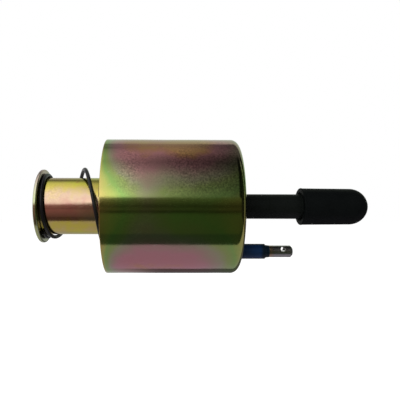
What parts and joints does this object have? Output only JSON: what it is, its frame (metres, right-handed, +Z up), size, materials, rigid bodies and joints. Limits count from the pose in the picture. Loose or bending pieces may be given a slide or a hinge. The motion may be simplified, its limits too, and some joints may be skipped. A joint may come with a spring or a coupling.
{
  "type": "push solenoid",
  "caption": "Tubular push solenoid: plated can, captive plunger with a conical return spring, black push rod with a rubber tip, and an insulated pin terminal.",
  "frame": {"origin": "on the plunger's axis, at the middle of the can's length", "axes": "+X along the axis, the way the rod pushes; +Z up, with the pin terminal on the -Z side"},
  "size_m": [0.1264, 0.0508, 0.0508],
  "materials": {
    "zinc_plate": "iridescent yellow zinc chromate",
    "brass": "drawn",
    "bronze": "sintered",
    "nylon": "moulded",
    "copper": "enamelled wire",
    "tape": "polyester tape",
    "fibre": "vulcanised fibre",
    "spring_steel": "hardened",
    "black_spring": "black oxide",
    "lead_insulation": "extruded",
    "blue_insulation": "moulded nylon",
    "tinned_brass": "tin plate",
    "black_rod": "black oxide, oiled",
    "rubber": "moulded"
  },
  "bodies": {
    "housing": {"can_shell": "zinc_plate", "front_plate": "zinc_plate", "guide_tube": "brass", "pole_piece": "zinc_plate", "stop_washer": "brass", "rod_bush": "bronze", "bobbin": "nylon", "coil_winding": "copper", "coil_wrap": "tape", "front_insulator": "fibre", "rear_insulator": "fibre", "spring_washer": "spring_steel", "lead_bush": "nylon", "lead_wire": "lead_insulation", "earth_lead": "copper", "terminal_sleeve": "blue_insulation", "terminal_pin": "tinned_brass"},
    "carriage": {"spring_retainer": "zinc_plate", "return_spring": "black_spring"},
    "plunger": {"plunger": "zinc_plate", "retainer_clip": "spring_steel", "push_rod": "black_rod", "tip_cap": "rubber"}
  },
  "joints": [
    {"name": "plunger_slide", "type": "slide", "parent": "housing", "child": "carriage", "axis": [1, 0, 0], "range_m": [0, 0.018], "stiffness_N_per_m": 1200, "springref_m": -0.005, "deforming": ["return_spring"]},
    {"name": "plunger_spin", "type": "hinge", "parent": "carriage", "child": "plunger", "pos_m": [0, 0, 0], "axis": [1, 0, 0], "continuous": true}
  ]
}
